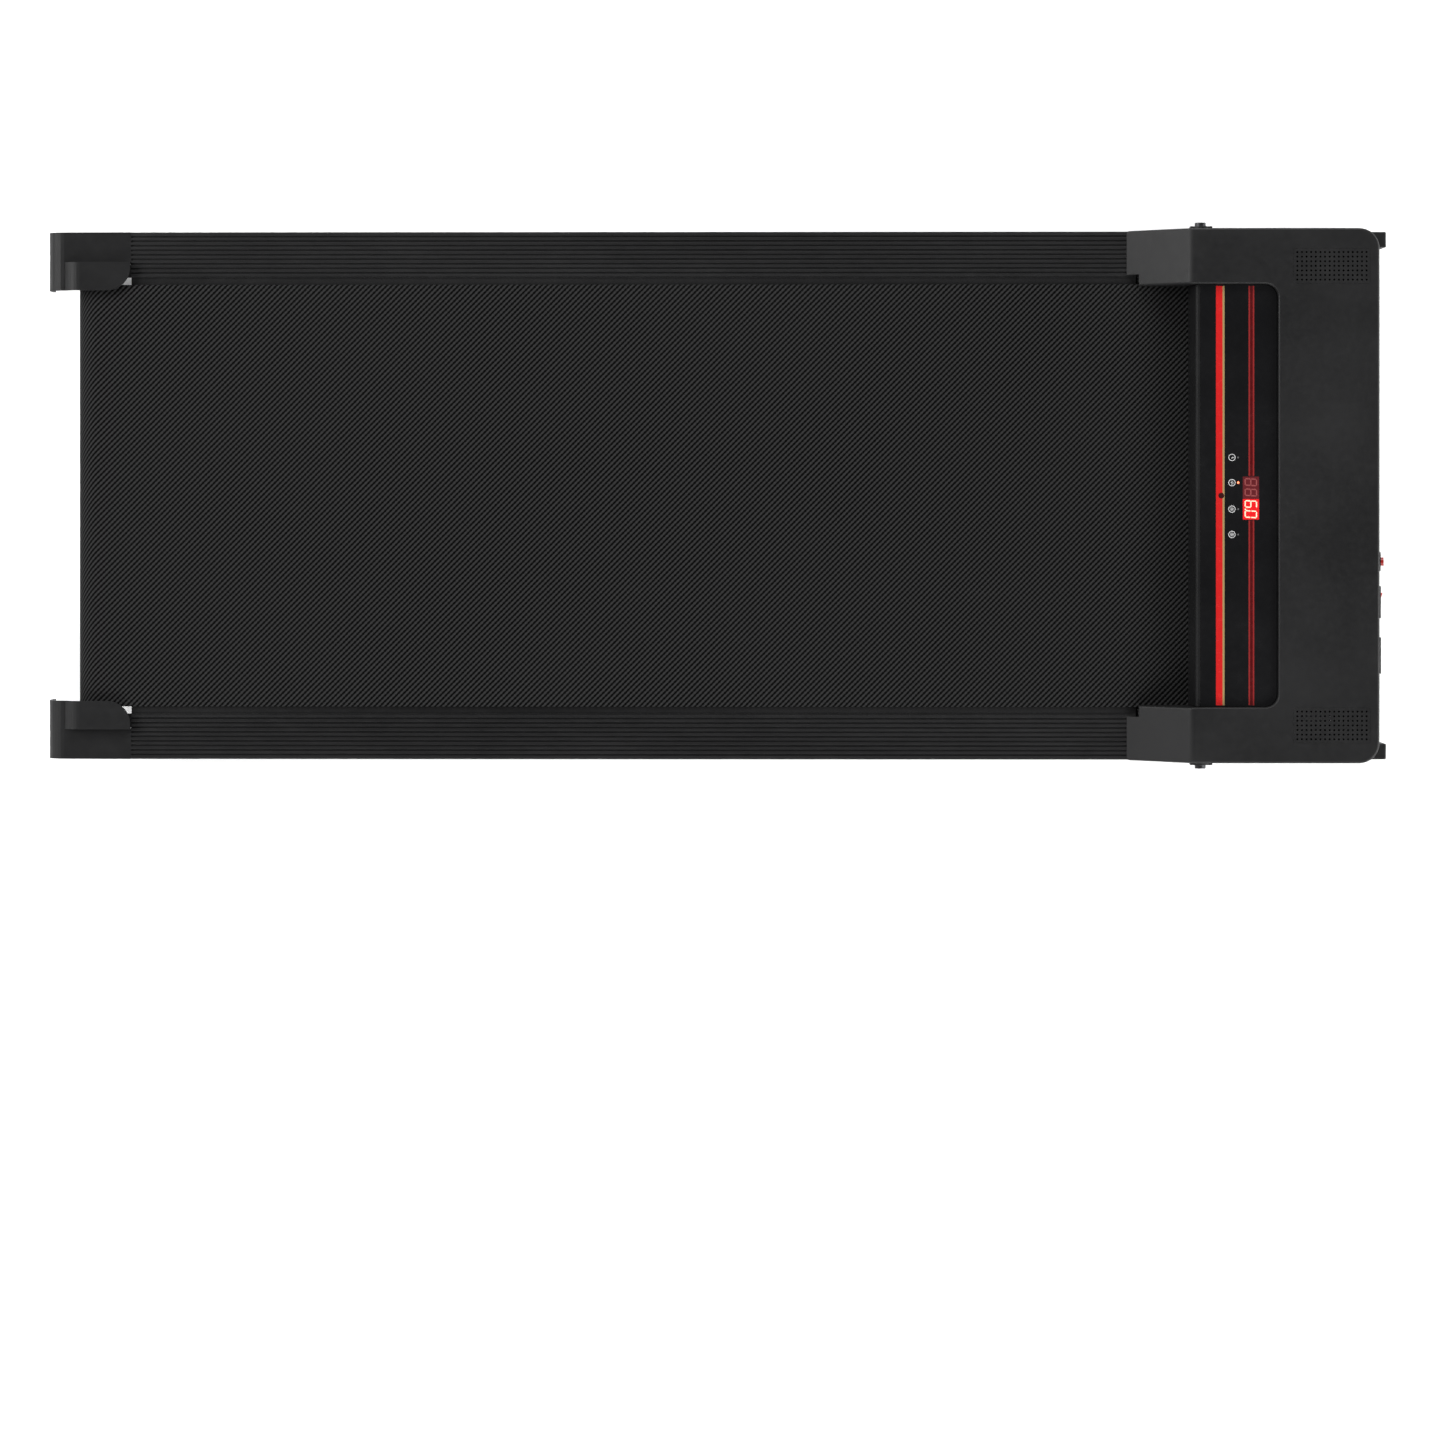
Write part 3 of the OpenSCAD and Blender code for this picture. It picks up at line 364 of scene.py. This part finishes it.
def add_prism(bm, points, z0, z1):
    """Fills a convex outline between two heights."""
    low = [bm.verts.new((x, y, z0)) for x, y in points]
    top = [bm.verts.new((x, y, z1)) for x, y in points]
    bm.faces.new(low[::-1])
    bm.faces.new(top)
    for i in range(len(points)):
        j = (i + 1) % len(points)
        bm.faces.new((low[i], low[j], top[j], top[i]))


def add_ring(bm, x, y, inner, outer, z0, z1, start=0.0, sweep=360.0, steps=40):
    """A flat ring, or an arc of one."""
    angles = [math.radians(start + sweep * i / steps) for i in range(steps + 1)]
    for a, b in zip(angles, angles[1:]):
        quad = [(x + r * math.cos(t), y + r * math.sin(t)) for r, t in
                ((inner, a), (outer, a), (outer, b), (inner, b))]
        add_prism(bm, quad, z0, z1)
    bmesh.ops.remove_doubles(bm, verts=bm.verts, dist=0.0005)


def add_disc(bm, x, y, r, z0, z1, steps=32):
    angles = [2 * math.pi * i / steps for i in range(steps)]
    add_prism(bm, [(x + r * math.cos(a), y + r * math.sin(a)) for a in angles], z0, z1)


def add_rect(bm, x0, y0, x1, y1, z0, z1):
    add_prism(bm, [(x0, y0), (x1, y0), (x1, y1), (x0, y1)], z0, z1)


def run(obj, kind, **values):
    """Adds a modifier and applies it at once."""
    mod = obj.modifiers.new(kind.lower(), kind)
    for key, value in values.items():
        setattr(mod, key, value)
    with bpy.context.temp_override(object=obj, active_object=obj, selected_objects=[obj]):
        bpy.ops.object.modifier_apply(modifier=mod.name)


# The hood, in the deck's millimetres. Each vent is a field of round holes.
HOOD_TOP, WALL = 81.0, 2.5
VENT_X, VENT_Y, VENT_DX, VENT_DY = 544.6, 202.0, 4.31, 4.3
VENT_COLUMNS, VENT_ROWS, VENT_RADIUS, VENT_BORDER = 16, 7, 0.98, 4.5
# Edges of the vents' cut-outs lie between these in x and inside this in y.
CUTOUT_X, CUTOUT_Y = (534, 616), 240
# The arms beside the belt slope down behind this x, above this height.
ARM_X, ARM_LOW = 460, 45


def mark_outer_edges(mesh, angle=34):
    """Bevel weight on the hood's convex top and slope edges, but not round its vents."""
    bm = bmesh.new()
    bm.from_mesh(mesh)
    weight = bm.edges.layers.float.new("bevel_weight_edge")
    back = DECK.inverted()
    for edge in bm.edges:
        if len(edge.link_faces) != 2 or not edge.is_convex:
            continue
        if edge.calc_face_angle(0) < math.radians(angle):
            continue
        ends = [(back @ v.co) * 1000 for v in edge.verts]
        high = max(p.z for p in ends)
        middle_x, middle_y = ((ends[0][k] + ends[1][k]) / 2 for k in (0, 1))
        if CUTOUT_X[0] < middle_x < CUTOUT_X[1] and abs(middle_y) < CUTOUT_Y:
            continue
        if high > HOOD_TOP - 0.1 or (high > ARM_LOW and middle_x < ARM_X):
            edge[weight] = 1.0
    bm.to_mesh(mesh)
    bm.free()


def smooth_faces(mesh, angle=32):
    """Smooth shading, with edges over the angle kept sharp."""
    bm = bmesh.new()
    bm.from_mesh(mesh)
    for face in bm.faces:
        face.smooth = True
    for edge in bm.edges:
        if len(edge.link_faces) == 2 and edge.calc_face_angle(0) > math.radians(angle):
            edge.smooth = False
    bm.to_mesh(mesh)
    bm.free()


# The hood in one piece: rounded edges first, then the round vent holes.
hood = bpy.data.objects.new("hood_shell", nodes["motor_hood"].data.copy())
scene.collection.objects.link(hood)
run(hood, "WELD", merge_threshold=WELD_GAP)
plugs = bmesh.new()
holes = bmesh.new()
for side in (1, -1):
    y0, y1 = sorted(side * y for y in (VENT_Y, VENT_Y + (VENT_ROWS - 1) * VENT_DY))
    add_box(plugs, (VENT_X - VENT_BORDER, y0 - VENT_BORDER, HOOD_TOP - WALL + 0.4),
            (VENT_X + (VENT_COLUMNS - 1) * VENT_DX + VENT_BORDER, y1 + VENT_BORDER, HOOD_TOP))
    for i in range(VENT_COLUMNS):
        for j in range(VENT_ROWS):
            add_disc(holes, VENT_X + i * VENT_DX, side * (VENT_Y + j * VENT_DY), VENT_RADIUS,
                     HOOD_TOP - WALL - 1, HOOD_TOP + 1, 14)
plug_obj = place("plugs", plugs, "hood_plastic")
hole_obj = place("holes", holes, "hood_plastic")
run(hood, "BOOLEAN", object=plug_obj, operation="UNION", solver="EXACT")
run(hood, "DECIMATE", decimate_type="DISSOLVE", angle_limit=math.radians(0.5))
mark_outer_edges(hood.data)
run(hood, "BEVEL", width=0.0022, segments=5, limit_method="WEIGHT", use_clamp_overlap=False)
run(hood, "BEVEL", width=0.0005, segments=2, limit_method="ANGLE", angle_limit=math.radians(40))
run(hood, "BOOLEAN", object=hole_obj, operation="DIFFERENCE", solver="EXACT")
for tool in (plug_obj, hole_obj):
    bpy.data.objects.remove(tool)
smooth_faces(hood.data)
hood.modifiers.new("normal", "WEIGHTED_NORMAL").keep_sharp = True
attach(hood, "frame")
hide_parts("motor_hood", "left_vent_grille", "right_vent_grille")

# Control panel: light strip with its warm edge, tinted lines, display and icons.
# FACE is the panel's height. BAR gives the strip's rear edge, where its warm edge starts, and
# its front edge. HALF is half its length.
FACE = 74.0
BAR = (469.3, 475.5, 477.4)
HALF = 196.5
LINE_X, LINE_WIDTH, TINT_X = (499.8, 503.7), 1.5, (501.35, 503.65)
DISPLAY_X, DISPLAY_Y, SPLIT_Y = (494.4, 509.7), (-22.5, 17.9), -3.2


def inlay(x0, x1, y0, y1):
    """The corners of a light set in just under the panel's face."""
    return (x0, y0, FACE - 1), (x1, y1, FACE - 0.1)


strip = place("light_strip", boxes(inlay(BAR[0], BAR[1], -HALF, HALF)), "red_light")
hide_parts("light_bar")
place("light_strip_edge", boxes(inlay(BAR[1], BAR[2], -HALF, HALF)), "orange_light")

# The lines stop short of the display.
spans = ((-HALF, DISPLAY_Y[0] - 0.6), (DISPLAY_Y[1] + 0.6, HALF))
lines = place("lines", boxes(*[inlay(x, x + LINE_WIDTH, a, b) for x in LINE_X for a, b in spans]),
              "thin_light")
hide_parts("light_lines")
place("line_tint", boxes(*[((TINT_X[0], a, FACE), (TINT_X[1], b, FACE + 0.03)) for a, b in spans]),
      "deep_red")

window = place("window_dark", boxes(inlay(*DISPLAY_X, SPLIT_Y, DISPLAY_Y[1])), "window_dark")
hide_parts("speed_display")
place("window_lit", boxes(inlay(*DISPLAY_X, DISPLAY_Y[0], SPLIT_Y)), "window_lit")

PRINTED = (FACE - 0.1, FACE - 0.04)
RAISED = (FACE, FACE + 0.04)
SEGMENTS = {"8": "abcdefg", "6": "acdefg", "0": "abcdef"}


def digit(bm, char, y, x_mid=502.0, height=10.6, width=6.0, thick=1.15, lean=0.7,
          inset=0.75):
    """A seven-segment digit whose top points along +X and which is read towards -Y."""
    up, half, t = height / 2, width / 2, thick / 2

    def bar(u0, v0, u1, v1):
        """u runs along the reading direction, v towards the digit's top."""
        pts = []
        along = Vector((u1 - u0, v1 - v0)).normalized()
        side = Vector((-along.y, along.x)) * t
        a, b = Vector((u0, v0)) + along * inset, Vector((u1, v1)) - along * inset
        for p in (a - along * t, a + side, b + side, b + along * t, b - side, a - side):
            pts.append((x_mid + p.y, y - p.x - lean * p.y / up * 0.5))
        add_prism(bm, pts, *PRINTED)

    where = {
        "a": (-half, up, half, up), "b": (half, up, half, 0), "c": (half, 0, half, -up),
        "d": (half, -up, -half, -up), "e": (-half, -up, -half, 0), "f": (-half, 0, -half, up),
        "g": (-half, 0, half, 0),
    }
    for key in SEGMENTS[char]:
        bar(*where[key])


dim, bright = bmesh.new(), bmesh.new()
digit(dim, "8", 12.6)
digit(dim, "8", 3.0)
digit(bright, "6", -8.0)
digit(bright, "0", -17.4)
add_disc(bright, 496.9, -12.9, 0.75, *PRINTED, 16)
place("digits_dim", dim, "digit_dim")
place("digits_lit", bright, "digit_lit")

# Four round keys, each with its own mark and a spot beside it. One spot is lit.
KEY_X, SPOT_X, KEY_Y, LIT_KEY = 484.3, 490.1, (35.8, 12.2, -12.6, -36.4), 1
icons, spots, hot = bmesh.new(), bmesh.new(), bmesh.new()
for k, y in enumerate(KEY_Y):
    x = KEY_X
    add_ring(icons, x, y, 2.75, 3.3, *RAISED)
    if k == 0:
        add_rect(icons, x, y - 0.25, x + 1.9, y + 0.25, *RAISED)
        add_rect(icons, x - 0.25, y - 1.4, x + 0.25, y, *RAISED)
    elif k == 1:
        add_ring(icons, x - 0.4, y, 1.35, 1.75, *RAISED, -100, 200, 20)
        add_disc(icons, x - 0.5, y, 0.55, *RAISED, 16)
    elif k == 2:
        for shift in (-1.0, 0.0, 1.0):
            add_rect(icons, x - 1.4, y + shift - 0.22, x + 1.4, y + shift + 0.22, *RAISED)
    else:
        add_ring(icons, x, y, 1.2, 1.6, *RAISED, 0, 360, 20)
        add_disc(icons, x, y, 0.6, *RAISED, 16)
    if k == LIT_KEY:
        add_disc(hot, SPOT_X, y, 1.1, *RAISED, 20)
    else:
        add_disc(spots, SPOT_X, y, 0.8, *RAISED, 20)
# The icons are printed marks; their faint glow is painted light.
place("icons", icons, "icon_white")
place("status_spots", spots, "icon_grey")
place("status_spot_lit", hot, "spot_lit")

# The rails' tongues reach the end caps' inner walls.
place("rail_tongue_ends", boxes(*[((-561.8, a, 32.3), (-554.9, b, 34.5))
                                  for a, b in ((218.3, 220.4), (-220.4, -218.3))]),
      "rail_plastic")

# ---------------------------------------------------------------- camera, light and floor
CAMERA_ABOVE = 3.9
low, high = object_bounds()
middle = (low + high) / 2
deck_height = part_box("motor_hood")[0].z

cam_data = bpy.data.cameras.new("camera")
cam_data.lens = 102.5
cam_data.sensor_width = 36
cam_data.shift_x = 0.0045
cam_data.shift_y = -0.157
cam_data.clip_end = 50
cam = bpy.data.objects.new("camera", cam_data)
cam.location = (middle.x, middle.y, deck_height + CAMERA_ABOVE)
scene.collection.objects.link(cam)
scene.camera = cam

bpy.ops.mesh.primitive_plane_add(size=9, location=(0, 0, low.z))
floor = bpy.context.object
floor.name = "floor"
paint = Shader("floor")
paint.bsdf.inputs["Roughness"].default_value = 0.9
paint.bsdf.inputs["Specular IOR Level"].default_value = 0.1
white = paint.mix(paint.noise(3), (0.9, 0.9, 0.9), (0.93, 0.93, 0.93))
paint.link(white, paint.bsdf.inputs["Base Color"])
floor.data.materials.append(paint.mat)

# White at the horizon, grey overhead.
world = bpy.data.worlds.new("studio")
scene.world = world
world.use_nodes = True
tree = world.node_tree
sky = tree.nodes["Background"]
coord = tree.nodes.new("ShaderNodeTexCoord")
split = tree.nodes.new("ShaderNodeSeparateXYZ")
ramp = tree.nodes.new("ShaderNodeValToRGB")
tree.links.new(coord.outputs["Generated"], split.inputs["Vector"])
tree.links.new(split.outputs["Z"], ramp.inputs["Fac"])
tree.links.new(ramp.outputs["Color"], sky.inputs["Color"])
ramp.color_ramp.elements[0].position = 0.0
ramp.color_ramp.elements[0].color = (1, 1, 1, 1)
ramp.color_ramp.elements[1].position = 0.8
ramp.color_ramp.elements[1].color = (0.12, 0.12, 0.125, 1)
sky.inputs["Strength"].default_value = 1.1


def lamp(name, spot, aim, energy, width, height):
    """An area lamp at a spot, turned towards its aim, in watts and metres."""
    data = bpy.data.lights.new(name, "AREA")
    data.shape = "RECTANGLE"
    data.size, data.size_y = width, height
    data.energy = energy
    obj = bpy.data.objects.new(name, data)
    obj.location = spot
    obj.rotation_euler = (Vector(aim) - Vector(spot)).to_track_quat("-Z", "Y").to_euler()
    scene.collection.objects.link(obj)


lamp("key", (-3.0, 1.2, 2.0), (0, 0, 0), 170, 2.6, 1.6)
lamp("fill", (2.8, -1.6, 2.2), (0, 0, 0), 130, 2.4, 1.6)
lamp("low_front", (2.7, 0, 0.38), (0.62, 0, 0.08), 40, 2.0, 0.3)
lamp("left", (0.3, 3.0, 2.1), (0, 0, 0), 110, 2.8, 1.4)
lamp("right", (-0.5, -3.0, 2.1), (0, 0, 0), 110, 2.8, 1.4)
scene.view_settings.view_transform = "Standard"
